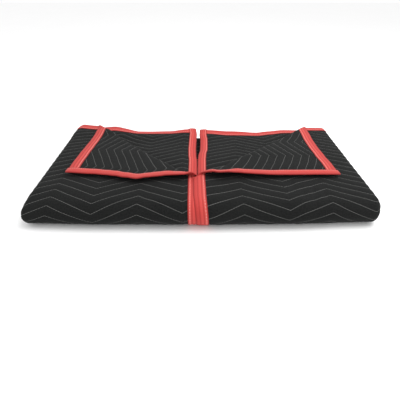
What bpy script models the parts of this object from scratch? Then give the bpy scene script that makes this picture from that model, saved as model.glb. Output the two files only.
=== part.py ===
"""A moving pad: one zigzag-quilted blanket with tape round its edges, folded into a thick rectangle.

The blanket and its four tapes are made flat, where u runs across the blanket from its left long side,
v along it from its first end, and w up through its thickness. All five are then folded together, the
way a person folds a blanket: end to end, both long sides in to the middle, in half again with the
long sides outside, and last the two upper corners turned back on the slant.

Metres, +Z up. The folded pad lies with its long way on X, its round front fold at -Y and its open
ends at +Y. It rests on z = 0, with the origin under the middle of its box.
"""

import bisect
import math

import bmesh
import bpy
from mathutils import Matrix

# The blanket as it is cut
WIDTH = 1.829
LENGTH = 2.032
THICKNESS = 0.008

# The tape that wraps its edges
TAPE_WIDTH = 0.030
TAPE_THICKNESS = 0.001
TAPE_CLEARANCE = 0.0003
TAPE_SUNK = 0.0002
TAPE_REACH = TAPE_CLEARANCE + TAPE_THICKNESS
TAPE_OVERLAP = TAPE_REACH + TAPE_CLEARANCE

# Stitching presses the blanket thin under a tape, and it swells again over a short slope
PRESS = TAPE_SUNK + TAPE_THICKNESS + TAPE_CLEARANCE
PRESS_FULL_TO = TAPE_WIDTH + TAPE_CLEARANCE
PRESS_NONE_FROM = 0.042

# How the plies lie on each other
PLY_GAP = 0.001
SEAM_GAP = 0.0065
SEAM_X = -0.014
LAST_END_SHORT = 0.005
HALF_FOLD_SHORT = 0.002

# The corners turned back: the side of each corner triangle, and how high its loose point stands
CORNER_SIDE = {"left": 0.377, "right": 0.396}
CORNER_LIFT = 0.0030
CORNER_CURL = {"left": 0.006, "right": 0.004}

# Near the last end the inner ply is pulled out of line: its long sides stand apart at the seam, and
# its end is drawn in between the seam and the side folds
SEAM_SPREAD = 0.006
END_DRAWN_IN = 0.009
PULLED_LENGTH = 0.36

# Segments of each kind of bend, and cells of each straight run
GATE_BEND_STEPS = 5
FRONT_BEND_STEPS = 6
END_BEND_STEPS = 4
CORNER_BEND_STEPS = 4
CELLS_ACROSS = 5
CELLS_ALONG = 4

# Stack heights and bend radii that follow
TWO_PLIES = 2 * THICKNESS + PLY_GAP
FOUR_PLIES = 4 * THICKNESS + 3 * PLY_GAP
EIGHT_PLIES = 8 * THICKNESS + 7 * PLY_GAP
END_RADIUS = THICKNESS + PLY_GAP / 2
GATE_RADIUS = TWO_PLIES + PLY_GAP / 2
FRONT_RADIUS = FOUR_PLIES + PLY_GAP / 2
CORNER_RADIUS = THICKNESS + CORNER_LIFT / 2

# Where each fold starts, measured flat, so that the ends and the long sides meet where they should
END_FOLD = (LENGTH - math.pi * END_RADIUS + LAST_END_SHORT) / 2
GATE_FOLD = (WIDTH + SEAM_GAP - 2 * math.pi * GATE_RADIUS) / 4
FRONT_FOLD = (END_FOLD + END_RADIUS + HALF_FOLD_SHORT - math.pi * FRONT_RADIUS) / 2
MIDDLE_U = WIDTH / 2 + SEAM_X
FLAP_WIDTH = {
    "left": GATE_FOLD + SEAM_X - SEAM_GAP / 2,
    "right": GATE_FOLD - SEAM_X - SEAM_GAP / 2,
}
FOLDED_DEPTH = FRONT_FOLD + FRONT_RADIUS

# How the loose stack has settled: its top stands this much higher or lower than eight even plies.
# A row for each distance from the open ends, a column for each place from left to right.
SETTLED_X = (-0.448, -0.240, SEAM_X, 0.190, 0.448)
SETTLED = (
    # from_back, left_side, left_middle, seam, right_middle, right_side
    (0.000, -0.001, -0.013, -0.003, -0.014, -0.007),
    (0.110, 0.000, -0.007, -0.002, -0.008, -0.003),
    (0.250, 0.001, 0.000, 0.001, 0.000, 0.000),
    (0.400, 0.000, 0.003, 0.003, 0.002, -0.001),
    (0.488, -0.004, 0.001, 0.002, 0.000, -0.006),
)

# How far the front fold stands out at the same places across, and how far back that reaches
FRONT_BOW = (0.000, 0.007, 0.009, 0.006, -0.005)
BOW_LENGTH = 0.24

# The distance from the open ends at which y is 0
MIDDLE_BACK = (FOLDED_DEPTH + max(FRONT_BOW) - TAPE_REACH) / 2

# The lean that settles which diagonal of a cell is the shorter one
LEAN = 0.02


def pressed(distance):
    """How far a face of the blanket is pressed in, at a distance from the edge that the tape wraps."""
    share = (PRESS_NONE_FROM - distance) / (PRESS_NONE_FROM - PRESS_FULL_TO)
    return PRESS * min(max(share, 0.0), 1.0)


def pressed_by_sides(u):
    return pressed(u) + pressed(WIDTH - u)


def pressed_by_ends(v):
    return pressed(v) + pressed(LENGTH - v)


def press(bm, amount):
    """Moves both faces of a flat piece towards the middle of its thickness, by amount(u, v)."""
    for vert in bm.verts:
        u, v, w = vert.co
        depth = amount(u, v)
        vert.co.z = w + depth if w < THICKNESS / 2 else w - depth


def evenly(start, end, cells):
    return [start + (end - start) * i / cells for i in range(cells + 1)]


def across_lines():
    """The u of every line along the blanket at which it is cut into cells, so that it can bend there."""
    lines = []
    for side, flap in FLAP_WIDTH.items():
        from_edge = [PRESS_FULL_TO, *evenly(PRESS_NONE_FROM, flap, CELLS_ACROSS)]
        bend = evenly(flap, flap + math.pi * GATE_RADIUS, GATE_BEND_STEPS)
        # The back panel takes the lines of the flap that lies on it.
        panel = [2 * flap + math.pi * GATE_RADIUS - line for line in from_edge]
        for line in {*from_edge, *bend, *panel}:
            lines.append(line if side == "left" else WIDTH - line)
    return sorted(lines)


def along_lines():
    """The v of every line across the blanket at which it is cut into cells."""
    quarter = [PRESS_FULL_TO, *evenly(PRESS_NONE_FROM, FRONT_FOLD, CELLS_ALONG)]
    bend = evenly(FRONT_FOLD, FRONT_FOLD + math.pi * FRONT_RADIUS, FRONT_BEND_STEPS)
    under = [2 * FRONT_FOLD + math.pi * FRONT_RADIUS - line for line in quarter]
    first_half = {*quarter, *bend, *under, END_FOLD}
    turn = END_FOLD + math.pi * END_RADIUS
    second_half = {END_FOLD + turn - line for line in first_half - {*quarter[:2]}}
    last_end = {LENGTH - line for line in quarter[:2]}
    end_bend = evenly(END_FOLD, turn, END_BEND_STEPS)
    return sorted({*first_half, *second_half, *last_end, *end_bend})


def cut(bm, point, normal):
    everything = [*bm.verts, *bm.edges, *bm.faces]
    bmesh.ops.bisect_plane(bm, geom=everything, dist=1e-7, plane_co=point, plane_no=normal)


def into_corner(u, v):
    """How far a flat point lies inside the slanting line of its corner of the first end."""
    side = "left" if u < WIDTH / 2 else "right"
    from_side = u if side == "left" else WIDTH - u
    return (CORNER_SIDE[side] - from_side - v) / math.sqrt(2)


def triangulate(bm, faces, lean_x=LEAN):
    """Splits faces into triangles, leaning the mesh a little so that every ply takes the same diagonals."""
    lean = Matrix(((1, lean_x, 0), (0, 1, LEAN), (lean_x, 0, 1))).to_4x4()
    bmesh.ops.transform(bm, matrix=lean, verts=bm.verts)
    bmesh.ops.triangulate(bm, faces=faces, quad_method="SHORT_EDGE")
    bmesh.ops.transform(bm, matrix=lean.inverted(), verts=bm.verts)


def cut_corners(bm):
    """Cuts along the slanting bends at the two corners of the first end."""
    bend = math.pi * CORNER_RADIUS
    for step in range(CORNER_BEND_STEPS + 1):
        in_bend = math.sqrt(2) * bend * step / CORNER_BEND_STEPS
        cut(bm, (CORNER_SIDE["left"] - in_bend, 0, 0), (1, 1, 0))
        cut(bm, (WIDTH - CORNER_SIDE["right"] + in_bend, 0, 0), (-1, 1, 0))
    for lean_x in (LEAN, -LEAN):
        # The left corner leans one way and the right corner the other, as mirror images.
        centres = {face: face.calc_center_median() for face in bm.faces}
        in_corner = [f for f, c in centres.items() if (c.x < WIDTH / 2) == (lean_x > 0)]
        bends = [f for f in in_corner if 0 < into_corner(centres[f].x, centres[f].y) < bend]
        triangulate(bm, bends, lean_x)


def flat_blanket():
    bm = bmesh.new()
    bmesh.ops.create_cube(bm, size=1.0)
    bmesh.ops.translate(bm, vec=(0.5, 0.5, 0.5), verts=bm.verts)
    bmesh.ops.scale(bm, vec=(WIDTH, LENGTH, THICKNESS), verts=bm.verts)
    for line in across_lines():
        cut(bm, (line, 0, 0), (1, 0, 0))
    for line in along_lines():
        cut(bm, (0, line, 0), (0, 1, 0))
    cut_corners(bm)
    press(bm, lambda u, v: pressed_by_sides(u) + pressed_by_ends(v))
    return bm


def tape_channel(start, end):
    """A tape folded over an edge that runs on Y from start to end, with the blanket on its +X side."""
    outer = (TAPE_SUNK, THICKNESS - TAPE_SUNK)
    inner = (PRESS - TAPE_CLEARANCE, THICKNESS - PRESS + TAPE_CLEARANCE)
    section = [
        (-TAPE_REACH, outer[0]),
        (TAPE_WIDTH, outer[0]),
        (TAPE_WIDTH, inner[0]),
        (-TAPE_CLEARANCE, inner[0]),
        (-TAPE_CLEARANCE, inner[1]),
        (TAPE_WIDTH, inner[1]),
        (TAPE_WIDTH, outer[1]),
        (-TAPE_REACH, outer[1]),
    ]
    bm = bmesh.new()
    face = bm.faces.new([bm.verts.new((x, start, z)) for x, z in section])
    extruded = bmesh.ops.extrude_face_region(bm, geom=[face])["geom"]
    far = [element for element in extruded if isinstance(element, bmesh.types.BMVert)]
    bmesh.ops.translate(bm, vec=(0, end - start, 0), verts=far)
    return bm


def flat_side_tape(side):
    """The tape on a long side. It runs past the end tapes and covers their ends."""
    bm = tape_channel(-TAPE_OVERLAP, LENGTH + TAPE_OVERLAP)
    if side == "right":
        bmesh.ops.scale(bm, vec=(-1, 1, 1), verts=bm.verts)
        bmesh.ops.translate(bm, vec=(WIDTH, 0, 0), verts=bm.verts)
    for line in along_lines():
        cut(bm, (0, line, 0), (0, 1, 0))
    cut_corners(bm)
    return bm


def flat_end_tape(end):
    """The tape on an end, which dips under the side tapes at the blanket's corners."""
    bm = tape_channel(0, WIDTH)
    swap_x_and_y = Matrix(((0, 1, 0), (1, 0, 0), (0, 0, 1)))
    bmesh.ops.transform(bm, matrix=swap_x_and_y.to_4x4(), verts=bm.verts)
    if end == "last":
        bmesh.ops.scale(bm, vec=(1, -1, 1), verts=bm.verts)
        bmesh.ops.translate(bm, vec=(0, LENGTH, 0), verts=bm.verts)
    for line in across_lines():
        cut(bm, (line, 0, 0), (1, 0, 0))
    cut_corners(bm)
    press(bm, lambda u, v: pressed_by_sides(u))
    return bm


def bent(run, height, start, axis, radius):
    """Carries a point round a half-turn fold, and returns its new run and height.

    The fold starts at the run start and turns about a line at the height axis, above or below the
    stack. radius is the outermost ply's, whose length the bend keeps.
    """
    beyond = run - start
    length = math.pi * radius
    arm = axis - height
    if beyond <= 0:
        return run, height
    if beyond >= length:
        return start + length - beyond, axis + arm
    angle = math.pi * beyond / length
    return start + abs(arm) * math.sin(angle), axis - arm * math.cos(angle)


def fold_ends_together(v, w):
    return bent(v, w, END_FOLD, THICKNESS + PLY_GAP / 2, END_RADIUS)


def fold_side_in(x, z):
    outward = -1 if x < 0 else 1
    run, z = bent(abs(x), z, GATE_FOLD, TWO_PLIES + PLY_GAP / 2, GATE_RADIUS)
    return outward * run, z


def turn_corner_back(u, v, x, back, z):
    """Folds the first end's corners of the outer ply outwards along a slanting line."""
    run = into_corner(u, v)
    if run <= 0:
        return x, back, z
    side = "left" if u < WIDTH / 2 else "right"
    new_run, z = bent(run, z, 0, FOUR_PLIES + CORNER_LIFT / 2, CORNER_RADIUS)
    moved = (new_run - run) / math.sqrt(2)
    x += moved if side == "left" else -moved
    loose = max(-new_run, 0) / (CORNER_SIDE[side] / math.sqrt(2))
    return x, back - moved, z + CORNER_CURL[side] * loose**2


def fold_half_under(back, z):
    return bent(back, z, FRONT_FOLD, -PLY_GAP / 2, FRONT_RADIUS)


def pulled(u, v):
    """The flat place of a point, with the inner ply's flaps pulled out of line near the last end."""
    across_flap = min(u, WIDTH - u) / min(FLAP_WIDTH.values())
    share = 1 - (LENGTH - v) / PULLED_LENGTH
    if share <= 0 or across_flap >= 1:
        return u, v
    spread = SEAM_SPREAD * share**2 * (1 - across_flap)
    drawn_in = END_DRAWN_IN * share**2 * math.sin(math.pi * max(across_flap, 0)) ** 2
    return (u + spread if u < WIDTH / 2 else u - spread), v - drawn_in


def eased(low, high, share):
    return low + (high - low) * share * share * (3 - 2 * share)


def between(places, values, place):
    """The value at a place, eased between the values at the listed places."""
    right = min(max(bisect.bisect_right(places, place), 1), len(places) - 1)
    share = (place - places[right - 1]) / (places[right] - places[right - 1])
    return eased(values[right - 1], values[right], min(max(share, 0.0), 1.0))


def settled(x, back, z):
    """Lets the even stack settle: thicker here, thinner there, with a bowed front."""
    depths = [row[0] for row in SETTLED]
    rises = [between(SETTLED_X, row[1:], x) for row in SETTLED]
    rise = between(depths, rises, back)
    to_front = max(1 - (FOLDED_DEPTH - back) / BOW_LENGTH, 0.0)
    bow = between(SETTLED_X, FRONT_BOW, x) * to_front**2
    return x, back + bow, z * (1 + rise / EIGHT_PLIES)


def folded(u, v, w):
    """Where a point of the flat blanket or a flat tape lies in the folded pad."""
    pulled_u, pulled_v = pulled(u, v)
    back, z = fold_ends_together(pulled_v, w)
    x, z = fold_side_in(pulled_u - MIDDLE_U, z)
    x, back, z = turn_corner_back(u, v, x, back, z)
    back, z = fold_half_under(back, z)
    x, back, z = settled(x, back, z + FOUR_PLIES + PLY_GAP)
    return x, MIDDLE_BACK - back, z


def finished(name, bm, material):
    for vert in bm.verts:
        vert.co = folded(*vert.co)
    triangulate(bm, bm.faces)
    bmesh.ops.recalc_face_normals(bm, faces=bm.faces)
    mesh = bpy.data.meshes.new(name)
    bm.to_mesh(mesh)
    bm.free()
    mesh.materials.append(material)
    obj = bpy.data.objects.new(name, mesh)
    bpy.context.scene.collection.objects.link(obj)
    return obj


def plain_material(name, colour, roughness):
    material = bpy.data.materials.new(name)
    material.use_nodes = True
    surface = material.node_tree.nodes["Principled BSDF"]
    surface.inputs["Base Color"].default_value = (*colour, 1)
    surface.inputs["Roughness"].default_value = roughness
    surface.inputs["Metallic"].default_value = 0.0
    return material


def clear_scene():
    for obj in list(bpy.data.objects):
        bpy.data.objects.remove(obj)


def main():
    clear_scene()
    quilt = plain_material("black_quilt", colour=(0.028, 0.029, 0.029), roughness=0.95)
    tape = plain_material("red_tape", colour=(0.72, 0.10, 0.09), roughness=0.75)
    finished("quilted_blanket", flat_blanket(), quilt)
    for side in ("left", "right"):
        finished(f"tape_{side}_side", flat_side_tape(side), tape)
    for end in ("first", "last"):
        finished(f"tape_{end}_end", flat_end_tape(end), tape)


main()
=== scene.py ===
"""The looks of a folded moving pad: a charcoal blanket quilted in zigzag rows, bound in coral tape.

The blanket and its tapes are made flat, where u runs across the blanket from its left long side,
v along it from its first end, and w up through its thickness. Then all of them are carried through
the pad's folds: end to end, both long sides in to the middle, in half again with the long sides
outside, and last the two upper corners turned back on the slant.

Metres, +Z up, in the frame of the solids that these pieces replace.
"""

import bisect
import math

import bmesh
import bpy
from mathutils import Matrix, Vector, noise


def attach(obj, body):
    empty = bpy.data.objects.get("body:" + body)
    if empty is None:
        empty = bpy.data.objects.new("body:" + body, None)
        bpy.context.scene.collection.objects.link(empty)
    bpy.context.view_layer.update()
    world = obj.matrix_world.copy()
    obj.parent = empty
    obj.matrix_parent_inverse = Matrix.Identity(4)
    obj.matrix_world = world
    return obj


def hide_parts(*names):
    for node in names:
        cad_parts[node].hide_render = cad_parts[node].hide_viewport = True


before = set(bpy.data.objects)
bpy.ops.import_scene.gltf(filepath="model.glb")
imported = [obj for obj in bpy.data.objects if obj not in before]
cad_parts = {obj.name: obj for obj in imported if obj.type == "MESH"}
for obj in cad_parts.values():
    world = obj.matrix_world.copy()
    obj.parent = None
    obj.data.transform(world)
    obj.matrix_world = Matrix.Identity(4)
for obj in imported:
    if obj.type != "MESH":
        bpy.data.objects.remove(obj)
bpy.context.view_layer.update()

# The blanket as it is cut
WIDTH = 1.829
LENGTH = 2.032
THICKNESS = 0.008

# The tape that wraps its edges. On the long sides it is narrower on the inner face than on the outer.
TAPE_WIDTH = 0.030
INNER_TAPE_WIDTH = {"side": 0.0235, "end": 0.030}
TAPE_THICKNESS = 0.001
TAPE_CLEARANCE = 0.0003
TAPE_SUNK = 0.0002
TAPE_REACH = TAPE_CLEARANCE + TAPE_THICKNESS
TAPE_OVERLAP = TAPE_REACH + TAPE_CLEARANCE
TAPE_RIBS = 3
RIB_HEIGHT = 0.0004

# Each face of the tape ends here, and from here it bulges round the blanket's edge
BULGE_FROM = 0.002
STEPS_ACROSS_FACE = 26
STEPS_AROUND_EDGE = 8

# The tape's lining starts here, with a small slant where it turns round the edge
LINING_FROM = 0.0015
LINING_SLANT = 0.001

# Stitching presses the blanket thin under a tape, and it swells again over a short slope
PRESS = TAPE_SUNK + TAPE_THICKNESS + TAPE_CLEARANCE
PRESS_FULL_TO = TAPE_WIDTH + TAPE_CLEARANCE
PRESS_NONE_FROM = 0.042
RIM_PRESS = 0.0008

# The sewn edges are pinched thinner than the rest, by this share at the very edge
EDGE_PINCH = 0.42
PINCH_REACH = 0.042

# How the plies lie on each other
PLY_GAP = 0.001
SEAM_GAP = 0.0065
SEAM_X = -0.014
LAST_END_SHORT = 0.005
HALF_FOLD_SHORT = 0.002

# The corners turned back: the side of each corner triangle, and how high its loose point stands
CORNER_SIDE = {"left": 0.377, "right": 0.396}
CORNER_LIFT = 0.0030
CORNER_CURL = {"left": 0.003, "right": 0.002}

# Near the last end the inner ply's flaps are pulled out of line. Their long sides stand apart at the
# seam, by this much at each distance from the end.
SPREAD_PLACES = (0.0, 0.04, 0.075, 0.105, 0.15, 0.195, 0.235, 0.29, 0.36)
SEAM_SPREAD = {
    "left": (0.0030, 0.0004, 0.0014, 0.0024, 0.0031, 0.0021, -0.0003, -0.0005, 0.0),
    "right": (0.0055, 0.0045, 0.0072, 0.0068, 0.0058, 0.0000, -0.0018, -0.0025, 0.0),
}

# Their ends are drawn in or stick out, and stand up. By distance from the long side: how far.
PULLED_LENGTH = 0.36
PULLED_PLACES = (0.0, 0.05, 0.10, 0.16, 0.20, 0.25, 0.30, 0.38)
END_DRAWN_IN = {
    "left": (0.000, 0.002, 0.0055, 0.007, 0.005, -0.002, -0.007, 0.0),
    "right": (0.008, 0.012, 0.014, 0.013, 0.013, 0.005, -0.002, 0.0),
}
END_LIFTED = {
    "left": (0.0, 0.0, 0.0, 0.0, 0.0, 0.0005, 0.0030, 0.006),
    "right": (0.0, 0.0, 0.0, 0.0, 0.0, 0.0, 0.0, 0.0),
}
LIFTED_LENGTH = 0.07

# Stack heights and bend radii that follow
TWO_PLIES = 2 * THICKNESS + PLY_GAP
FOUR_PLIES = 4 * THICKNESS + 3 * PLY_GAP
EIGHT_PLIES = 8 * THICKNESS + 7 * PLY_GAP
END_RADIUS = THICKNESS + PLY_GAP / 2
GATE_RADIUS = TWO_PLIES + PLY_GAP / 2
FRONT_RADIUS = FOUR_PLIES + PLY_GAP / 2
CORNER_RADIUS = THICKNESS + CORNER_LIFT / 2

# Where each fold starts, measured flat, so that the ends and the long sides meet where they should
END_FOLD = (LENGTH - math.pi * END_RADIUS + LAST_END_SHORT) / 2
GATE_FOLD = (WIDTH + SEAM_GAP - 2 * math.pi * GATE_RADIUS) / 4
FRONT_FOLD = (END_FOLD + END_RADIUS + HALF_FOLD_SHORT - math.pi * FRONT_RADIUS) / 2
MIDDLE_U = WIDTH / 2 + SEAM_X
FLAP_WIDTH = {
    "left": GATE_FOLD + SEAM_X - SEAM_GAP / 2,
    "right": GATE_FOLD - SEAM_X - SEAM_GAP / 2,
}
FOLDED_DEPTH = FRONT_FOLD + FRONT_RADIUS

# How the loose stack has settled: its top stands this much higher or lower than eight even plies.
# A row for each distance from the open ends, a column for each place from left to right.
SETTLED_X = (-0.448, -0.360, -0.300, -0.220, -0.120, SEAM_X, 0.100, 0.200, 0.300, 0.448)
SETTLED = (
    # from_back, then the rise at each of those places
    (0.000, 0.010, 0.003, 0.007, -0.0065, -0.005, 0.007, 0.003, -0.006, -0.003, -0.0045),
    (0.045, 0.006, -0.001, 0.004, -0.0025, -0.0025, 0.003, -0.006, -0.0085, -0.003, -0.003),
    (0.110, 0.001, -0.003, -0.002, -0.0065, -0.0045, -0.002, -0.0055, -0.008, -0.004, -0.001),
    (0.250, 0.001, 0.001, 0.000, 0.000, 0.000, 0.001, 0.000, 0.000, 0.000, 0.000),
    (0.400, 0.001, 0.002, 0.002, 0.003, 0.003, 0.003, 0.003, 0.002, 0.001, -0.001),
    (0.488, -0.013, -0.009, -0.006, -0.001, 0.002, 0.002, 0.001, 0.000, -0.003, -0.006),
)

# How far the two sides have moved in towards the middle, by distance from the open ends
SIDES_IN = (
    # from_back, left, right
    (0.000, 0.001, 0.005),
    (0.110, 0.003, 0.0065),
    (0.250, 0.003, 0.007),
    (0.400, 0.003, 0.005),
    (0.450, -0.002, 0.003),
    (0.488, -0.009, 0.007),
)
SIDES_IN_FROM = 0.25
SIDES_IN_TO = 0.44

# How far the front fold stands out at five places across, and how far back that reaches
FRONT_BOW_X = (-0.448, -0.240, SEAM_X, 0.190, 0.448)
FRONT_BOW = (0.000, 0.007, 0.009, 0.006, -0.005)
BOW_LENGTH = 0.24

# In the middle of its width the panel's ends and end fold are drawn in, under the seam
RECESS_WIDTH = 0.15
RECESS_LENGTH = 0.50
END_RECESS = 0.215
END_FOLD_RECESS = 0.020

# The distance from the open ends at which y is 0
MIDDLE_BACK = (FOLDED_DEPTH + max(FRONT_BOW) - TAPE_REACH) / 2

# The stitched rows run across the blanket in zigzags. They turn at these columns, each of which is
# a valley or a peak in turn, and they lie closer together near the ends.
FIRST_VALLEY = 0.042
FLAP_PITCH = 0.108
FLAP_TURNS = 3
PANEL_PITCH = 0.1131
PANEL_TURNS = 10
ZIGZAG_HEIGHT = 0.051
CLOSE_ROWS_TO = 0.220
CLOSE_SPACING = 0.0245
WIDE_ROWS = 58
CLOSE_ROWS = 10

# The stitching draws the cloth in: this deep at a row, and how soon it swells again beside it
QUILT_DEPTH = 0.0011
QUILT_SLOPE = 0.0042
ACROSS_A_ROW = (0.0, 0.16, 0.5, 0.84)

# It draws in unevenly, by this share of its depth, in patches of about a ninth of a metre
UNEVENNESS = 0.35
PATCHES_PER_METRE = 9

# A row's place settles over so many rounds, because the zigzag depends on it
ROW_ROUNDS = 6

# Small puckers across the rows near the front fold: soft troughs that run along v
PUCKERS = (
    # u, v, half its length, half its width, depth
    (WIDTH - 0.243, 0.392, 0.024, 0.009, 0.0025),
    (WIDTH - 0.268, 0.428, 0.022, 0.009, 0.0022),
    (WIDTH - 0.296, 0.418, 0.026, 0.009, 0.0028),
    (WIDTH - 0.288, 0.458, 0.022, 0.009, 0.0022),
    (WIDTH - 0.322, 0.436, 0.022, 0.009, 0.0022),
    (0.128, 0.450, 0.024, 0.010, 0.0024),
    (0.164, 0.468, 0.020, 0.009, 0.0020),
    (0.108, 0.478, 0.022, 0.010, 0.0022),
)

# Cells of the cloth: where it shows, inside the stack, near the recess, and round the wide bends and
# the tight ones. A tape's cells are a little longer than the cloth's where it lies flat.
FINE_CELL = 0.0072
HIDDEN_CELL = 0.056
RECESS_CELL = 0.0227
BEND_CELL = 0.005
TIGHT_CELL = 0.0035
TAPE_CELL = FINE_CELL * 1.1

# Points this close are one point: where cells are counted and cut, and where a tape is closed
TOUCHING = 1e-6
MERGED = 1e-7


# ---------------------------------------------------------------- small helpers


def evenly(start, end, cells):
    return [start + (end - start) * i / cells for i in range(cells + 1)]


def divided(knots, cell):
    """Every line from the first knot to the last, with each stretch in even cells of at most that size."""
    lines = []
    for start, end in zip(knots, knots[1:]):
        lines.extend(evenly(start, end, max(math.ceil((end - start) / cell - TOUCHING), 1))[:-1])
    return [*lines, knots[-1]]


def held(low, value, high):
    return min(max(value, low), high)


def eased(low, high, share):
    return low + (high - low) * share * share * (3 - 2 * share)


def rising(start, end, place):
    """0 before start, 1 after end, and eased in between."""
    return eased(0.0, 1.0, held(0.0, (place - start) / (end - start), 1.0))


def between(places, values, place):
    """The value at a place, eased between the values at the listed places."""
    right = min(max(bisect.bisect_right(places, place), 1), len(places) - 1)
    share = (place - places[right - 1]) / (places[right] - places[right - 1])
    return eased(values[right - 1], values[right], held(0.0, share, 1.0))


def side_of(u):
    return "left" if u < WIDTH / 2 else "right"


def from_side(u):
    return min(u, WIDTH - u)


# ---------------------------------------------------------------- the folds


def bent(run, height, start, axis, radius):
    """Carries a point round a half-turn fold, and returns its new run and height.

    The fold starts at the run start and turns about a line at the height axis, above or below the
    stack. radius is the outermost ply's, whose length the bend keeps.
    """
    beyond = run - start
    length = math.pi * radius
    arm = axis - height
    if beyond <= 0:
        return run, height
    if beyond >= length:
        return start + length - beyond, axis + arm
    angle = math.pi * beyond / length
    return start + abs(arm) * math.sin(angle), axis - arm * math.cos(angle)


def fold_ends_together(v, w):
    return bent(v, w, END_FOLD, THICKNESS + PLY_GAP / 2, END_RADIUS)


def fold_side_in(x, z):
    outward = -1 if x < 0 else 1
    run, z = bent(abs(x), z, GATE_FOLD, TWO_PLIES + PLY_GAP / 2, GATE_RADIUS)
    return outward * run, z


def into_corner(u, v):
    """How far a flat point lies inside the slanting line of its corner of the first end."""
    return (CORNER_SIDE[side_of(u)] - from_side(u) - v) / math.sqrt(2)


def fold_half_under(back, z):
    return bent(back, z, FRONT_FOLD, -PLY_GAP / 2, FRONT_RADIUS)


def pinched(u, v, w):
    """The height of a point in the blanket's thickness, pinched towards its middle near an edge."""
    distance = max(min(u, WIDTH - u, v, LENGTH - v), 0.0)
    pinch = 1 - EDGE_PINCH * max(1 - distance / PINCH_REACH, 0.0) ** 2
    return THICKNESS / 2 + (w - THICKNESS / 2) * pinch


def pulled(u, v):
    """The flat place of a point, with the inner ply's flaps pulled out of line near the last end."""
    across = max(from_side(u), 0.0)
    share = 1 - (LENGTH - v) / PULLED_LENGTH
    if share <= 0 or across >= min(FLAP_WIDTH.values()):
        return u, v
    spread = between(SPREAD_PLACES, SEAM_SPREAD[side_of(u)], LENGTH - v)
    spread *= 1 - across / min(FLAP_WIDTH.values())
    drawn_in = between(PULLED_PLACES, END_DRAWN_IN[side_of(u)], across) * share**2
    return (u + spread if u < WIDTH / 2 else u - spread), v - drawn_in


# How each turned-back corner lies: by the share of the way from its loose point to the seam, how
# far its front edge is drawn back, how far it is raised, and how far its rim curls up
CORNER_LIE = {
    "left": (
        # share, drawn_back, raised, curled
        (0.00, 0.006, 0.000, 0.002),
        (0.20, 0.001, 0.000, 0.002),
        (0.30, -0.006, -0.001, 0.004),
        (0.36, -0.0108, -0.001, 0.004),
        (0.44, -0.0215, -0.001, 0.0055),
        (0.53, -0.031, -0.001, 0.007),
        (0.60, -0.0250, -0.001, 0.008),
        (0.66, -0.0190, 0.000, 0.006),
        (0.74, -0.0130, 0.000, 0.0062),
        (0.79, -0.0170, -0.001, 0.0104),
        (0.84, -0.0175, -0.002, 0.0130),
        (0.90, -0.0010, -0.002, 0.009),
        (0.95, 0.011, -0.003, 0.002),
        (1.00, 0.018, -0.004, 0.000),
    ),
    "right": (
        # share, drawn_back, raised, curled
        (0.00, 0.017, 0.000, 0.002),
        (0.20, 0.0175, 0.000, 0.002),
        (0.37, 0.016, 0.000, 0.002),
        (0.47, 0.0115, 0.000, 0.0045),
        (0.58, 0.0115, 0.001, 0.005),
        (0.65, 0.0125, 0.0015, 0.0055),
        (0.70, 0.0165, 0.002, 0.005),
        (0.76, 0.0085, 0.000, 0.0142),
        (0.80, 0.0078, -0.001, 0.0152),
        (0.84, 0.0135, 0.000, 0.0142),
        (0.90, 0.0300, -0.002, 0.004),
        (1.00, 0.032, -0.003, 0.000),
    ),
}
DRAWN_BACK_REACH = 0.30
RAISED_REACH = 0.15
CURL_REACH = 0.050

# How far each corner's outer edge is drawn towards the seam, by the share of the way from its front
# to its back. It fades over this stretch of the way to the seam.
EDGE_PLACES = (0.0, 0.15, 0.30, 0.45, 0.60, 0.75, 1.0)
EDGE_DRAWN_IN = {
    "left": (-0.001, 0.0005, 0.0035, 0.0062, 0.0090, 0.0113, 0.0145),
    "right": (-0.0100, -0.0085, -0.0035, -0.0009, -0.0015, -0.0040, -0.0040),
}
EDGE_FADES = (0.55, 1.0)
CORNER_SPREAD = 0.12

# The slanting fold stays a little open, most of all half way along it
CORNER_LOFT = {"left": 0.001, "right": 0.003}
LOFT_REACH = 0.16


def turn_corner_back(u, v, x, back, z):
    """Folds the first end's corners of the outer ply outwards along a slanting line, loosely."""
    run = into_corner(u, v)
    if run <= -CORNER_SPREAD:
        return x, back, z
    side = side_of(u)
    outward = -1 if side == "left" else 1
    from_front = max(from_side(u), 0.0)
    share = held(0.0, v / CORNER_SIDE[side], 1.0)
    shares, *columns = zip(*CORNER_LIE[side])
    drawn_back, raised, curled = [between(shares, column, share) for column in columns]
    spread = rising(-CORNER_SPREAD, 0.0, run)
    drawn_in = between(EDGE_PLACES, EDGE_DRAWN_IN[side], from_front / CORNER_SIDE[side])
    drawn_in *= 1 - rising(*EDGE_FADES, share)
    if run > 0:
        new_run, z = bent(run, z, 0, FOUR_PLIES + CORNER_LIFT / 2, CORNER_RADIUS)
        moved = (new_run - run) / math.sqrt(2)
        x -= outward * moved
        back -= moved
        turned = rising(0, math.pi * CORNER_RADIUS, run)
        past_fold = max(-new_run, 0)
        loose = past_fold / (CORNER_SIDE[side] / math.sqrt(2))
        z += CORNER_CURL[side] * loose**2
        open_fold = math.exp(-2 * (past_fold / LOFT_REACH) ** 2) * math.sin(math.pi * share)
        z += CORNER_LOFT[side] * turned * open_fold
        z += raised * turned * max(1 - from_front / RAISED_REACH, 0.0) ** 2
        z += curled * turned * max(1 - from_front / CURL_REACH, 0.0) ** 2
    x -= outward * drawn_in * spread
    back -= drawn_back * spread * max(1 - from_front / DRAWN_BACK_REACH, 0.0)
    return x, back, z


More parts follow.
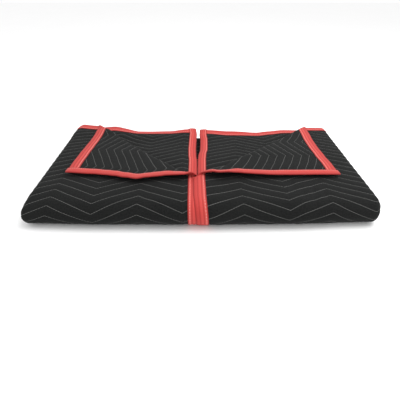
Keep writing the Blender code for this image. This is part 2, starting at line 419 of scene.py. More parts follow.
def recess(x, back):
    """How far the panel's ends and its end fold are drawn in there, under the seam."""
    across = max(1 - ((x - SEAM_X) / RECESS_WIDTH) ** 2, 0.0) ** 2
    at_ends = max(1 - back / RECESS_LENGTH, 0.0) ** 2
    at_fold = max(1 - (END_FOLD + END_RADIUS - back) / RECESS_LENGTH, 0.0) ** 2
    return across * (END_RECESS * at_ends - END_FOLD_RECESS * at_fold)


# The first end creases the left side fold square at the back, and that eases off along the fold
SQUARED = 0.008
SQUARED_LENGTH = 0.12
SQUARED_SLANT = 0.7


def squared(x, back, z):
    """Pushes the top of the left side fold outwards and upwards near the open ends."""
    near = max(1 - back / SQUARED_LENGTH, 0.0) ** 2
    outward = held(0.0, -x - GATE_FOLD, GATE_RADIUS)
    upward = held(0.0, z - EIGHT_PLIES + GATE_RADIUS, GATE_RADIUS)
    push = SQUARED * near * min(2 * outward * upward / GATE_RADIUS**2, 1.0)
    return x - SQUARED_SLANT * push, z + SQUARED_SLANT * push


def settled(x, back, z):
    """Lets the even stack settle: thicker here, thinner there, with a bowed front."""
    depths = [row[0] for row in SETTLED]
    rises = [between(SETTLED_X, row[1:], x) for row in SETTLED]
    rise = between(depths, rises, back)
    to_front = max(1 - (FOLDED_DEPTH - back) / BOW_LENGTH, 0.0)
    bow = between(FRONT_BOW_X, FRONT_BOW, x) * to_front**2
    places, left, right = zip(*SIDES_IN)
    inward = between(places, left if x < 0 else right, back)
    moved_in = inward * rising(SIDES_IN_FROM, SIDES_IN_TO, abs(x))
    return x + (moved_in if x < 0 else -moved_in), back + bow, z * (1 + rise / EIGHT_PLIES)


# In front the two long sides of the outer ply are drawn together, and the right one lies over the
# left one. By distance from the first end: how far each is drawn in, and how high the right lies.
SEAM_PLACES = (0.26, 0.38, 0.45, 0.53, 0.62, 0.80)
DRAWN_LEFT = (0.0, 0.0085, 0.0095, 0.0105, 0.0045, 0.0)
DRAWN_RIGHT = (0.0, 0.0150, 0.0135, 0.006, 0.001, 0.0)
LAID_OVER = (0.0, 0.0036, 0.0036, 0.0022, 0.0, 0.0)
DRAWN_REACH = 0.25
OVER_REACH = 0.075


def drawn_together(u, v):
    """How far the outer ply moves towards the seam there, and how far it rises to lie over the other."""
    if v > SEAM_PLACES[-1]:
        return 0.0, 0.0
    near = max(1 - from_side(u) / DRAWN_REACH, 0.0)
    over = max(1 - from_side(u) / OVER_REACH, 0.0)
    if side_of(u) == "left":
        return between(SEAM_PLACES, DRAWN_LEFT, v) * near, 0.0
    return -between(SEAM_PLACES, DRAWN_RIGHT, v) * near, between(SEAM_PLACES, LAID_OVER, v) * over


# The inner ply's long sides droop into the gap between them
SEAM_DROOP = 0.003
DROOP_REACH = 0.028


def droop(u, v):
    """How far the inner ply's flaps hang down at the seam, less how far their ends stand up."""
    across = max(from_side(u), 0.0)
    if v < LENGTH / 2 or across > PULLED_PLACES[-1]:
        return 0.0
    lifted = between(PULLED_PLACES, END_LIFTED[side_of(u)], across)
    lifted *= held(0.0, 1 - (LENGTH - v) / LIFTED_LENGTH, 1.0) ** 2
    return SEAM_DROOP * max(1 - across / DROOP_REACH, 0.0) ** 2 - lifted


def folded(u, v, w):
    """Where a point of the flat blanket or a flat tape lies in the folded pad."""
    pulled_u, pulled_v = pulled(u, v)
    back, z = fold_ends_together(pulled_v, pinched(u, v, w))
    flat_x = pulled_u - MIDDLE_U
    x, z = fold_side_in(flat_x, z)
    if abs(flat_x) < GATE_FOLD:
        back += recess(flat_x, back)
    shift, rise = drawn_together(u, v)
    x += shift
    z += rise - droop(u, v)
    x, back, z = turn_corner_back(u, v, x, back, z)
    back, z = fold_half_under(back, z)
    x, z = squared(x, back, z + FOUR_PLIES + PLY_GAP)
    x, back, z = settled(x, back, z)
    return x, MIDDLE_BACK - back, max(z, 0.0)


# ---------------------------------------------------------------- the quilting


def turning_columns():
    """Where the rows turn, from beyond the left side to beyond the right one."""
    pitches = [FLAP_PITCH] * FLAP_TURNS + [PANEL_PITCH] * PANEL_TURNS + [FLAP_PITCH] * (FLAP_TURNS + 1)
    columns = [FIRST_VALLEY - FLAP_PITCH, FIRST_VALLEY]
    for pitch in pitches:
        columns.append(columns[-1] + pitch)
    return columns


def row_places():
    """The v of each stitched row at half its zigzag's height, from before one end to beyond the other."""
    first = [CLOSE_ROWS_TO - CLOSE_SPACING * i for i in range(CLOSE_ROWS, 0, -1)]
    middle = evenly(CLOSE_ROWS_TO, LENGTH - CLOSE_ROWS_TO, WIDE_ROWS)
    return [*first, *middle, *[LENGTH - place for place in reversed(first)]]


COLUMNS = turning_columns()
ROWS = row_places()

# On the second half's right flap the zigzags run the other way up. They change over inside the stack.
TURNED_ROWS_U = (WIDTH / 2 - 0.15, WIDTH / 2 + 0.15)
TURNED_ROWS_V = (1.08, 1.45)


# On the first half's right flap the rows stand out further at one of the turning columns
STEEP_COLUMN = WIDTH - FIRST_VALLEY - 2 * FLAP_PITCH
STEEP_HEIGHT = 0.010
STEEP_ROWS_END = (0.60, 0.80)


def zigzag(u, v):
    """How far a row stands out along v there from the middle of its zigzag."""
    right = min(max(bisect.bisect_right(COLUMNS, u), 1), len(COLUMNS) - 1)
    share = (u - COLUMNS[right - 1]) / (COLUMNS[right] - COLUMNS[right - 1])
    rise = 2 * share - 1 if right % 2 else 1 - 2 * share
    turned = rising(*TURNED_ROWS_U, u) * rising(*TURNED_ROWS_V, v)
    steep = max(1 - abs(u - STEEP_COLUMN) / FLAP_PITCH, 0.0) * (1 - rising(*STEEP_ROWS_END, v))
    return ZIGZAG_HEIGHT / 2 * rise * (1 - 2 * turned) - STEEP_HEIGHT * steep


def row_number(u, v):
    """Which row a flat point lies on, counted in rows and parts of a row."""
    place = v - zigzag(u, v)
    after = min(max(bisect.bisect_right(ROWS, place), 1), len(ROWS) - 1)
    return after - 1 + (place - ROWS[after - 1]) / (ROWS[after] - ROWS[after - 1])


def on_row(u, place):
    """The v at which a row of that place crosses u."""
    v = place
    for _ in range(ROW_ROUNDS):
        v = place + zigzag(u, v)
    return v


def tape_press(u, v):
    """How far each face is pressed in under the tapes."""
    distances = (u, WIDTH - u, v, LENGTH - v)
    shares = [(PRESS_NONE_FROM - d) / (PRESS_NONE_FROM - PRESS_FULL_TO) for d in distances]
    pressed = sum(PRESS * held(0.0, share, 1.0) for share in shares)
    return pressed + (RIM_PRESS if min(distances) < TOUCHING else 0.0)


def quilt_press(u, v):
    """How far each face is drawn in by the quilting."""
    number = row_number(u, v)
    across = abs(number - round(number)) * CLOSE_SPACING
    patch = Vector((u * PATCHES_PER_METRE, v * PATCHES_PER_METRE, 0.5))
    unevenness = 1 + UNEVENNESS * noise.noise(patch)
    clear_of_tape = rising(0.5 * TAPE_WIDTH, PRESS_NONE_FROM, min(from_side(u), v, LENGTH - v))
    return QUILT_DEPTH * unevenness * clear_of_tape * math.exp(-((across / QUILT_SLOPE) ** 2))


def pucker(u, v):
    """How deep the small puckers in the outer face are there."""
    depth = 0.0
    for middle_u, middle_v, length, width, deepest in PUCKERS:
        off = math.hypot((u - middle_u) / width, (v - middle_v) / length)
        depth += deepest * math.exp(-(off**2))
    return depth


# ---------------------------------------------------------------- the blanket


def blanket_columns():
    """The u of every line of cells: fine on the flaps and in the bends, coarse in the back panel,
    and less coarse there near its recess."""
    left_bend = FLAP_WIDTH["left"] + math.pi * GATE_RADIUS
    right_bend = WIDTH - FLAP_WIDTH["right"] - math.pi * GATE_RADIUS
    inside = [c for c in COLUMNS if 0 < c < WIDTH]
    left = [0.0, *[c for c in inside if c < FLAP_WIDTH["left"]], FLAP_WIDTH["left"]]
    panel = [left_bend, *[c for c in inside if left_bend < c < right_bend], right_bend]
    right = [WIDTH - FLAP_WIDTH["right"], *[c for c in inside if c > WIDTH - FLAP_WIDTH["right"]], WIDTH]
    lines = divided(left, FINE_CELL)[:-1]
    lines += divided([FLAP_WIDTH["left"], left_bend], BEND_CELL)[:-1]
    for first, second in zip(panel, panel[1:]):
        recessed = abs((first + second) / 2 - MIDDLE_U - SEAM_X) < RECESS_WIDTH
        lines += divided([first, second], RECESS_CELL if recessed else HIDDEN_CELL)[:-1]
    lines += divided([right_bend, WIDTH - FLAP_WIDTH["right"]], BEND_CELL)[:-1]
    return lines + divided(right, FINE_CELL)


HIDDEN_ROWS = (1.075, 1.575)


def blanket_rows():
    """The place of every line of cells along the rows: four to a row, and one where no row shows."""
    lines = []
    for place, following in zip(ROWS, ROWS[1:]):
        hidden = HIDDEN_ROWS[0] < place < HIDDEN_ROWS[1]
        for share in ACROSS_A_ROW[:1] if hidden else ACROSS_A_ROW:
            lines.append(place + share * (following - place))
    return [*lines, ROWS[-1]]


def grid_of(columns, rows):
    """A flat grid with a line of cells at each column and each row, given as its bmesh."""
    bm = bmesh.new()
    across, along = len(columns) - 1, len(rows) - 1
    bmesh.ops.create_grid(bm, x_segments=across, y_segments=along, size=0.5)
    for vert in bm.verts:
        column = columns[round((vert.co.x + 0.5) * across)]
        row = rows[round((vert.co.y + 0.5) * along)]
        vert.co = (column, row, 0)
    return bm


def cut(bm, v, clear=None):
    """Cuts a flat bmesh along a line of constant v, and clears what lies outside it."""
    everything = [*bm.verts, *bm.edges, *bm.faces]
    outward = -1 if clear == "before" else 1
    bmesh.ops.bisect_plane(
        bm,
        geom=everything,
        dist=TOUCHING,
        plane_co=(0, v, 0),
        plane_no=(0, outward, 0),
        clear_outer=clear is not None,
    )


def flat_blanket():
    """The blanket before it is folded, with its stitched rows drawn in."""
    bm = grid_of(blanket_columns(), blanket_rows())
    for vert in bm.verts:
        vert.co.y = on_row(vert.co.x, vert.co.y)
    cut(bm, 0, clear="before")
    cut(bm, LENGTH, clear="after")
    for place in divided([END_FOLD, END_FOLD + math.pi * END_RADIUS], TIGHT_CELL):
        cut(bm, place)
    top = bmesh.ops.extrude_face_region(bm, geom=bm.faces)["geom"]
    raised = [element for element in top if isinstance(element, bmesh.types.BMVert)]
    bmesh.ops.translate(bm, vec=(0, 0, THICKNESS), verts=raised)
    return bm


def draw_in(bm):
    for vert in bm.verts:
        u, v, w = vert.co
        depth = tape_press(u, v) + quilt_press(u, v)
        vert.co.z = w + depth + pucker(u, v) if w < THICKNESS / 2 else w - depth


def mark_flat_place(bm):
    """Keeps each point's flat place and its row, for the materials that follow the cloth."""
    flat = bm.loops.layers.uv.new("flat")
    rows = bm.loops.layers.uv.new("rows")
    for face in bm.faces:
        for loop in face.loops:
            u, v, _ = loop.vert.co
            loop[flat].uv = (u, v)
            loop[rows].uv = (u, row_number(u, v))


def finished(name, bm, material):
    bmesh.ops.recalc_face_normals(bm, faces=bm.faces)
    for face in bm.faces:
        face.smooth = True
    mesh = bpy.data.meshes.new(name)
    bm.to_mesh(mesh)
    bm.free()
    mesh.materials.append(material)
    obj = bpy.data.objects.new(name, mesh)
    bpy.context.scene.collection.objects.link(obj)
    return obj


def quilted_pad(material):
    bm = flat_blanket()
    mark_flat_place(bm)
    draw_in(bm)
    for vert in bm.verts:
        vert.co = folded(*vert.co)
    return finished("quilted_pad", bm, material)


# ---------------------------------------------------------------- the tapes


def rib(distance, width):
    """How far the tape's ribs stand out, at a distance from the blanket's edge."""
    share = held(0.0, distance / width, 1.0)
    return RIB_HEIGHT * math.sin(math.pi * TAPE_RIBS * share) ** 2


def tape_section(inner_width):
    """The tape's cut end, wrapped over an edge: (distance in from the edge, height) all the way round."""
    low, high = TAPE_SUNK, THICKNESS - TAPE_SUNK
    inner_low, inner_high = PRESS - TAPE_CLEARANCE, THICKNESS - PRESS + TAPE_CLEARANCE
    outer_face = [
        (x, low - rib(x - BULGE_FROM, TAPE_WIDTH - BULGE_FROM))
        for x in evenly(TAPE_WIDTH, BULGE_FROM, STEPS_ACROSS_FACE)
    ]
    edge = [
        (
            BULGE_FROM - (BULGE_FROM + TAPE_REACH) * math.sin(turn),
            THICKNESS / 2 - (THICKNESS / 2 - low) * math.cos(turn),
        )
        for turn in evenly(0, math.pi, STEPS_AROUND_EDGE)[1:-1]
    ]
    inner_face = [
        (x, high + rib(x - BULGE_FROM, inner_width - BULGE_FROM))
        for x in evenly(BULGE_FROM, inner_width, STEPS_ACROSS_FACE)
    ]
    lining = [
        (inner_width, inner_high),
        (LINING_FROM, inner_high),
        (-TAPE_CLEARANCE, inner_high - LINING_SLANT),
        (-TAPE_CLEARANCE, inner_low + LINING_SLANT),
        (LINING_FROM, inner_low),
        (TAPE_WIDTH, inner_low),
    ]
    return [*outer_face, *edge, *inner_face, *lining]


def tape_lines(start, end, tight, bends):
    """The places along a tape at which it is cut into cells, closer where it bends."""
    knots = sorted({start, end, *[k for stretch in (*tight, *bends) for k in stretch]})
    lines = []
    for first, second in zip(knots, knots[1:]):
        middle = (first + second) / 2
        cell = TAPE_CELL
        if any(a < middle < b for a, b in bends):
            cell = BEND_CELL
        if any(a < middle < b for a, b in tight):
            cell = TIGHT_CELL
        lines.extend(divided([first, second], cell)[:-1])
    return [*lines, end]


CORNER_BAND = math.sqrt(2) * math.pi * CORNER_RADIUS + TAPE_WIDTH


def side_tape_lines(side):
    tight = [
        (CORNER_SIDE[side] - CORNER_BAND, CORNER_SIDE[side]),
        (END_FOLD, END_FOLD + math.pi * END_RADIUS),
    ]
    bends = [(FRONT_FOLD, FRONT_FOLD + math.pi * FRONT_RADIUS)]
    return tape_lines(-TAPE_OVERLAP, LENGTH + TAPE_OVERLAP, tight, bends)


def end_tape_lines(end):
    tight = []
    if end == "first":
        tight = [
            (CORNER_SIDE["left"] - CORNER_BAND, CORNER_SIDE["left"]),
            (WIDTH - CORNER_SIDE["right"], WIDTH - CORNER_SIDE["right"] + CORNER_BAND),
        ]
    bend = math.pi * GATE_RADIUS
    right = WIDTH - FLAP_WIDTH["right"]
    bends = [(FLAP_WIDTH["left"], FLAP_WIDTH["left"] + bend), (right - bend, right)]
    return tape_lines(0, WIDTH, tight, bends)


def wrapped_tape(name, lines, place, material):
    """A tape along one edge. place turns (in from the edge, along it, height) into a flat point."""
    inner_width = INNER_TAPE_WIDTH[name.split("_")[-1]]
    section = tape_section(inner_width)
    around = [*range(len(section)), 0]
    shares = [
        held(0.0, section[i][0] / (TAPE_WIDTH if section[i][1] < THICKNESS / 2 else inner_width), 1.0)
        for i in around
    ]
    bm = grid_of(list(range(len(around))), lines)
    flat = bm.loops.layers.uv.new("flat")
    ribs = bm.loops.layers.uv.new("ribs")
    widths = [0.0]
    for one, other in zip(section, [*section[1:], section[0]]):
        widths.append(widths[-1] + math.dist(one, other))
    for face in bm.faces:
        for loop in face.loops:
            step, along, _ = loop.vert.co
            loop[flat].uv = (widths[round(step)], along)
            loop[ribs].uv = (shares[round(step)], along)
    for vert in bm.verts:
        inward, height = section[around[round(vert.co.x)]]
        vert.co = folded(*place(inward, vert.co.y, height))
    bmesh.ops.remove_doubles(bm, verts=bm.verts, dist=MERGED)
    open_edges = [edge for edge in bm.edges if edge.is_boundary]
    bmesh.ops.holes_fill(bm, edges=open_edges, sides=0)
    return finished(name, bm, material)


def under_side_tapes(u, height):
    """The height of an end tape, which dips under the side tapes at the blanket's corners."""
    depth = PRESS * held(
        0.0, (PRESS_NONE_FROM - from_side(u)) / (PRESS_NONE_FROM - PRESS_FULL_TO), 1.0
    )
    return height + depth if height < THICKNESS / 2 else height - depth


def tape_places():
    """For each tape: its lines of cells, and what turns its own measures into a flat point."""
    return {
        "left_side": (side_tape_lines("left"), lambda inward, along, w: (inward, along, w)),
        "right_side": (side_tape_lines("right"), lambda inward, along, w: (WIDTH - inward, along, w)),
        "first_end": (
            end_tape_lines("first"),
            lambda inward, along, w: (along, inward, under_side_tapes(along, w)),
        ),
        "last_end": (
            end_tape_lines("last"),
            lambda inward, along, w: (along, LENGTH - inward, under_side_tapes(along, w)),
        ),
    }


def make_tapes(places, material):
    tapes = []
    for name, (lines, place) in places.items():
        tape = wrapped_tape(f"bound_{name}", lines, place, material)
        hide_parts(f"tape_{name}")
        tapes.append(tape)
    return tapes


# ---------------------------------------------------------------- the binding's stitches

STITCH_PITCH = 0.0064
STITCH_LENGTH = 0.0048
STITCH_WIDTH = 0.0014
STITCH_HEIGHT = 0.0010
STITCH_SHARE = 0.84
BEAD_RADIUS = 0.4


def row_of_beads(count):
    """A bmesh of small round beads, one at each whole number along y."""
    bm = bmesh.new()
    bmesh.ops.create_uvsphere(bm, u_segments=6, v_segments=4, radius=BEAD_RADIUS)
    made = 1
    while made < count:
        last = count - made - 0.5
        faces = [face for face in bm.faces if face.calc_center_median().y < last]
        copied = bmesh.ops.duplicate(bm, geom=faces)["geom"]
        verts = [element for element in copied if isinstance(element, bmesh.types.BMVert)]
        bmesh.ops.translate(bm, vec=(0, made, 0), verts=verts)
        made = min(2 * made, count)
    return bm


def stitch_spots(name, place):
    """Where each stitch of a tape lies: (place, distance in from the edge, distance along, height)."""
    inner_width = INNER_TAPE_WIDTH[name.split("_")[-1]]
    length = LENGTH if name.endswith("side") else WIDTH
    clear = STITCH_PITCH if name.endswith("side") else TAPE_WIDTH + STITCH_LENGTH / 2
    count = round((length - 2 * clear) / STITCH_PITCH)
    spots = []
    for width, sign, level in ((TAPE_WIDTH, -1, TAPE_SUNK), (inner_width, 1, THICKNESS - TAPE_SUNK)):
        inward = STITCH_SHARE * width
        height = level + sign * rib(inward - BULGE_FROM, width - BULGE_FROM)
        for along in evenly(clear, length - clear, count):
            spots.append((place, inward, along, height))
    return spots


def binding_stitches(places, material):
    """The stitches that hold the tapes on, one line on each face of each."""
    spots = [spot for name, (_, place) in places.items() for spot in stitch_spots(name, place)]
    bm = row_of_beads(len(spots))
    flat = bm.loops.layers.uv.new("flat")
    for face in bm.faces:
        for loop in face.loops:
            x, y, _ = loop.vert.co
            loop[flat].uv = (x, y - math.floor(y + 0.5))
    for vert in bm.verts:
        number = round(vert.co.y)
        place, inward, along, height = spots[number]
        x, y, z = (vert.co - Vector((0, number, 0))) / (2 * BEAD_RADIUS)
        vert.co = folded(
            *place(inward + x * STITCH_WIDTH, along + y * STITCH_LENGTH, height + z * STITCH_HEIGHT)
        )
    return finished("binding_stitches", bm, material)


# ---------------------------------------------------------------- materials


def put(tree, kind, inputs=None, **settings):
    """Adds a node, with values or links for its inputs, and returns it."""
    node = tree.nodes.new(kind)
    for name, value in settings.items():
        setattr(node, name, value)
    for key, value in (inputs or {}).items():
        if isinstance(value, bpy.types.NodeSocket):
            tree.links.new(value, node.inputs[key])
        else:
            node.inputs[key].default_value = value
    return node


def maths(tree, operation, *values, clamp=False):
    return put(
        tree, "ShaderNodeMath", dict(enumerate(values)), operation=operation, use_clamp=clamp
    ).outputs[0]


def mixed(tree, factor, first, second):
    node = put(
        tree, "ShaderNodeMix", {0: factor, 6: first, 7: second}, data_type="RGBA", clamp_factor=True
    )
    return node.outputs[2]


def remapped(tree, value, low, high, new_low=0.0, new_high=1.0):
    return put(
        tree,
        "ShaderNodeMapRange",
        {"Value": value, "From Min": low, "From Max": high, "To Min": new_low, "To Max": new_high},
    ).outputs["Result"]


def new_group(name, inputs, outputs):
    """A shader node group with these sockets: (name, kind, default) in, (name, kind) out."""
    group = bpy.data.node_groups.new(name, "ShaderNodeTree")
    for socket_name, kind, default in inputs:
        socket = group.interface.new_socket(socket_name, in_out="INPUT", socket_type=kind)
        if default is not None:
            socket.default_value = default
    for socket_name, kind in outputs:
        group.interface.new_socket(socket_name, in_out="OUTPUT", socket_type=kind)
    entry = group.nodes.new("NodeGroupInput")
    exit_ = group.nodes.new("NodeGroupOutput")
    return group, entry.outputs, exit_.inputs


def plain_weave_group():
    """Threads that go over and under each other, at a pitch in metres, on a flat place."""
    group, given, out = new_group(
        "plain weave",
        [("Flat Place", "NodeSocketVector", None), ("Pitch", "NodeSocketFloat", 0.001)],
        [("Height", "NodeSocketFloat"), ("Thread", "NodeSocketFloat")],
    )
    per_metre = maths(group, "DIVIDE", 1.0, given["Pitch"])
    counted = put(
        group, "ShaderNodeVectorMath", {0: given["Flat Place"], "Scale": per_metre}, operation="SCALE"
    ).outputs[0]
    parts = put(group, "ShaderNodeSeparateXYZ", {0: counted}).outputs
    warp = maths(group, "SINE", maths(group, "MULTIPLY", parts["X"], math.pi))
    weft = maths(group, "SINE", maths(group, "MULTIPLY", parts["Y"], math.pi))
    crossing = maths(group, "MULTIPLY", warp, weft)
    over = remapped(group, crossing, -0.25, 0.25)
    warp_round = maths(group, "ABSOLUTE", warp)
    weft_round = maths(group, "ABSOLUTE", weft)
    height = put(
        group, "ShaderNodeMix", {0: over, 2: warp_round, 3: weft_round}, data_type="FLOAT"
    ).outputs[0]
    group.links.new(height, out["Height"])
    group.links.new(over, out["Thread"])
    return group


def fuzz_group():
    """Loose fibres and lint: a broad unevenness, a fine one, and scattered pale specks."""
    group, given, out = new_group(
        "fuzz",
        [("Place", "NodeSocketVector", None), ("Fineness", "NodeSocketFloat", 900.0)],
        [("Broad", "NodeSocketFloat"), ("Fine", "NodeSocketFloat"), ("Specks", "NodeSocketFloat")],
    )
    broad = put(
        group, "ShaderNodeTexNoise", {"Vector": given["Place"], "Scale": 14.0, "Detail": 3.0}
    )
    fine = put(
        group,
        "ShaderNodeTexNoise",
        {"Vector": given["Place"], "Scale": given["Fineness"], "Detail": 2.0},
    )
    specks = put(
        group,
        "ShaderNodeTexVoronoi",
        {"Vector": given["Place"], "Scale": 160.0},
        feature="F1",
    )
    group.links.new(broad.outputs[0], out["Broad"])
    group.links.new(remapped(group, fine.outputs[0], 0.32, 0.68), out["Fine"])
    group.links.new(remapped(group, specks.outputs["Distance"], 0.16, 0.05), out["Specks"])
    return group


def new_material(name):
    material = bpy.data.materials.new(name)
    material.use_nodes = True
    tree = material.node_tree
    return material, tree, tree.nodes["Principled BSDF"]


def bumped(tree, surface, height, distance, strength):
    """Gives a surface its fine relief."""
    inputs = {"Height": height, "Distance": distance, "Strength": strength}
    tree.links.new(put(tree, "ShaderNodeBump", inputs).outputs[0], surface.inputs["Normal"])


CHARCOAL_DEEP = (0.0049, 0.0052, 0.0051, 1)
CHARCOAL_PALE = (0.0098, 0.0103, 0.0101, 1)
CLOTH_FIBRES = (0.0176, 0.0182, 0.0178, 1)
LINT = (0.082, 0.082, 0.080, 1)
ROW_THREAD = (0.15, 0.15, 0.145, 1)


def quilted_cloth(weave, fuzz):
    """Matt charcoal cloth with pale stitched rows, which follow the rows marked on the blanket."""
    thread_half_width = 0.00042
    stitch_length = 0.0060
    stitch_gap = 0.10
    material, tree, surface = new_material("charcoal quilting")
    flat = put(tree, "ShaderNodeUVMap", uv_map="flat").outputs[0]
    rows = put(tree, "ShaderNodeUVMap", uv_map="rows").outputs[0]
    woven = put(tree, "ShaderNodeGroup", {"Flat Place": flat, "Pitch": 0.0011}, node_tree=weave)
    fluff = put(tree, "ShaderNodeGroup", {"Place": flat, "Fineness": 280.0}, node_tree=fuzz)

    along = put(tree, "ShaderNodeSeparateXYZ", {0: rows}).outputs
    off_row = maths(tree, "PINGPONG", along["Y"], 0.5)
    distance = maths(tree, "MULTIPLY", off_row, CLOSE_SPACING)
    on_thread = remapped(tree, distance, thread_half_width * 1.3, thread_half_width * 0.7)
    dash = maths(tree, "PINGPONG", maths(tree, "DIVIDE", along["X"], stitch_length), 0.5)
    in_stitch = remapped(tree, dash, stitch_gap * 0.6, stitch_gap)
    thread = maths(tree, "MULTIPLY", on_thread, in_stitch)

    charcoal = mixed(tree, fluff.outputs["Broad"], CHARCOAL_DEEP, CHARCOAL_PALE)
    fibres = maths(tree, "MULTIPLY", fluff.outputs["Fine"], 0.60)
    charcoal = mixed(tree, fibres, charcoal, CLOTH_FIBRES)
    specks = maths(tree, "MULTIPLY", fluff.outputs["Specks"], 0.10)
    linted = mixed(tree, specks, charcoal, LINT)
    coloured = mixed(tree, thread, linted, ROW_THREAD)
    tree.links.new(coloured, surface.inputs["Base Color"])
    surface.inputs["Roughness"].default_value = 0.92
    surface.inputs["Specular IOR Level"].default_value = 0.08
    surface.inputs["Sheen Weight"].default_value = 0.03
    surface.inputs["Sheen Roughness"].default_value = 0.5

    relief = maths(tree, "MULTIPLY", woven.outputs["Height"], 0.5)
    relief = maths(tree, "ADD", relief, maths(tree, "MULTIPLY", fluff.outputs["Fine"], 0.5))
    relief = maths(tree, "ADD", relief, maths(tree, "MULTIPLY", thread, 0.8))
    bumped(tree, surface, relief, distance=0.0004, strength=0.6)
    return material


# From the blanket's edge to the tape's hem: a deeper red that fades, which is painted shade where the tape
# rolls round the edge, a pale line along the stitching, and a dark hem, which is painted shadow along the
# hem
TAPE_TONE_AND_SHADE = (
    (0.00, (0.25, 0.014, 0.015)),
    (0.10, (0.38, 0.029, 0.027)),
    (0.45, (0.50, 0.047, 0.042)),
    (0.70, (0.55, 0.064, 0.056)),
    (0.79, (0.60, 0.094, 0.082)),
    (0.87, (0.58, 0.086, 0.075)),
    (0.93, (0.30, 0.020, 0.020)),
    (1.00, (0.08, 0.003, 0.004)),
)
# Painted shade in the grooves between the tape's ribs
RIB_GROOVE_SHADE = (0.24, 0.011, 0.012, 1)
CORAL_WARM = (0.54, 0.046, 0.026, 1)
CORAL_THREAD = (0.62, 0.10, 0.095, 1)


def coral_tape(weave, fuzz):
    """Coral-red woven tape: painted shade between its ribs, at the blanket's edge and along its hem; paler
    along its stitching, with a fine weave.
    """
    material, tree, surface = new_material("coral tape")
    flat = put(tree, "ShaderNodeUVMap", uv_map="flat").outputs[0]
    woven = put(tree, "ShaderNodeGroup", {"Flat Place": flat, "Pitch": 0.0007}, node_tree=weave)
    fluff = put(tree, "ShaderNodeGroup", {"Place": flat}, node_tree=fuzz)
    ribs = put(tree, "ShaderNodeUVMap", uv_map="ribs").outputs[0]
    across = put(tree, "ShaderNodeSeparateXYZ", {0: ribs}).outputs["X"]
    on_rib = maths(tree, "PINGPONG", maths(tree, "MULTIPLY", across, TAPE_RIBS), 0.5)
    # Painted shade: the grooves between the ribs are darkened
    groove_shade = remapped(tree, on_rib, 0.30, 0.06, 0.0, 0.75)
    # The colour across the tape, with painted shade at the blanket's edge and painted shadow along its hem
    tone_and_shade = put(tree, "ShaderNodeValToRGB", {0: across})
    for _ in range(len(TAPE_TONE_AND_SHADE) - 2):
        tone_and_shade.color_ramp.elements.new(0.5)
    for element, (share, colour) in zip(tone_and_shade.color_ramp.elements, TAPE_TONE_AND_SHADE):
        element.position = share
        element.color = (*colour, 1)
    coral = mixed(tree, groove_shade, tone_and_shade.outputs[0], RIB_GROOVE_SHADE)
    warmer = maths(tree, "MULTIPLY", fluff.outputs["Broad"], 0.30)
    coral = mixed(tree, warmer, coral, CORAL_WARM)
    threads = maths(tree, "MULTIPLY", woven.outputs["Height"], 0.12)
    coral = mixed(tree, threads, coral, CORAL_THREAD)
    tree.links.new(coral, surface.inputs["Base Color"])
    surface.inputs["Roughness"].default_value = 0.7
    surface.inputs["Specular IOR Level"].default_value = 0.2
    surface.inputs["Sheen Weight"].default_value = 0.05
    surface.inputs["Sheen Roughness"].default_value = 0.5
    relief = maths(tree, "ADD", woven.outputs["Height"], fluff.outputs["Fine"])
    bumped(tree, surface, relief, distance=0.0002, strength=0.5)
    return material


TWISTS_PER_STITCH = 5.0
# Painted shade between the thread's strands, and the thread's own pale coral
THREAD_STRAND_SHADE = (0.54, 0.14, 0.12, 1)
THREAD_PALE = (0.74, 0.36, 0.32, 1)


def sewing_thread():
    """Pale coral thread, twisted, with painted shade between its strands."""
    material, tree, surface = new_material("binding thread")
    place = put(tree, "ShaderNodeUVMap", uv_map="flat").outputs[0]
    parts = put(tree, "ShaderNodeSeparateXYZ", {0: place}).outputs
    turns = maths(tree, "MULTIPLY", parts["Y"], TWISTS_PER_STITCH)
    strand = maths(tree, "PINGPONG", maths(tree, "ADD", turns, parts["X"]), 0.5)
    coloured = mixed(tree, remapped(tree, strand, 0.05, 0.3), THREAD_STRAND_SHADE, THREAD_PALE)
    tree.links.new(coloured, surface.inputs["Base Color"])
    surface.inputs["Roughness"].default_value = 0.6
    bumped(tree, surface, strand, distance=0.0002, strength=0.5)
    return material


def floor_material():
    material, tree, surface = new_material("pale floor")
    place = put(tree, "ShaderNodeTexCoord").outputs["Object"]
    grain = put(tree, "ShaderNodeTexNoise", {"Vector": place, "Scale": 3.0}).outputs[0]
    pale = mixed(tree, grain, (0.94, 0.94, 0.94, 1), (0.96, 0.96, 0.96, 1))
    tree.links.new(pale, surface.inputs["Base Color"])
    surface.inputs["Roughness"].default_value = 0.9
    return material


# ---------------------------------------------------------------- the studio


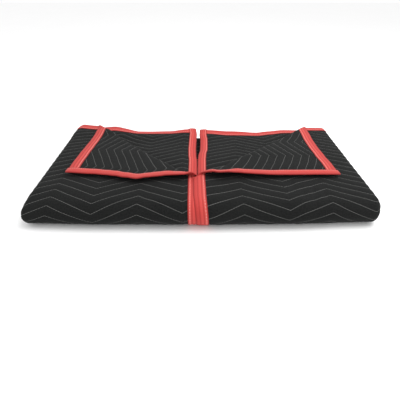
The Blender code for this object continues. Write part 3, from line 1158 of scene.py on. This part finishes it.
PICTURE = 400
FOCAL_PIXELS = 334.7
VANISHING_X = 197.4
SENSOR = 36.0
CAMERA_PLACE = (-0.0147, -0.8901, 0.5433)
CAMERA_PITCH = 35.0

LIGHTS = (
    # name, place, what it points at, size, power
    ("top light", (0.8, 0.1, 1.9), (0, 0, 0), 1.8, 30),
    ("front light", (1.2, -1.8, 1.5), (0, 0, 0.05), 1.2, 6),
)
FLOOR_SIZE = 6.0


def make_camera():
    lens = bpy.data.cameras.new("camera")
    lens.sensor_width = SENSOR
    lens.lens = FOCAL_PIXELS / PICTURE * SENSOR
    lens.shift_x = (PICTURE / 2 - VANISHING_X) / PICTURE
    camera = bpy.data.objects.new("camera", lens)
    camera.location = CAMERA_PLACE
    camera.rotation_euler = (math.radians(90 - CAMERA_PITCH), 0, 0)
    bpy.context.scene.collection.objects.link(camera)
    bpy.context.scene.camera = camera


def area_light(name, place, aim, size, power):
    light = bpy.data.lights.new(name, "AREA")
    light.shape = "DISK"
    light.size = size
    light.energy = power
    lamp = bpy.data.objects.new(name, light)
    lamp.location = place
    lamp.rotation_euler = (Vector(aim) - Vector(place)).to_track_quat("-Z", "Y").to_euler()
    bpy.context.scene.collection.objects.link(lamp)


def make_studio():
    world = bpy.data.worlds.new("studio")
    world.use_nodes = True
    background = world.node_tree.nodes["Background"].inputs
    background["Color"].default_value = (1, 1, 1, 1)
    background["Strength"].default_value = 1.0
    bpy.context.scene.world = world
    bpy.context.scene.view_settings.view_transform = "Standard"
    for light in LIGHTS:
        area_light(*light)
    bm = bmesh.new()
    bmesh.ops.create_grid(bm, x_segments=1, y_segments=1, size=FLOOR_SIZE)
    floor = finished("floor", bm, floor_material())


# ---------------------------------------------------------------- everything


weave = plain_weave_group()
fuzz = fuzz_group()
pad = quilted_pad(quilted_cloth(weave, fuzz))
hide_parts("quilted_blanket")
places = tape_places()
tapes = make_tapes(places, coral_tape(weave, fuzz))
stitches = binding_stitches(places, sewing_thread())
for piece in (pad, *tapes, stitches):
    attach(piece, "root")
make_camera()
make_studio()
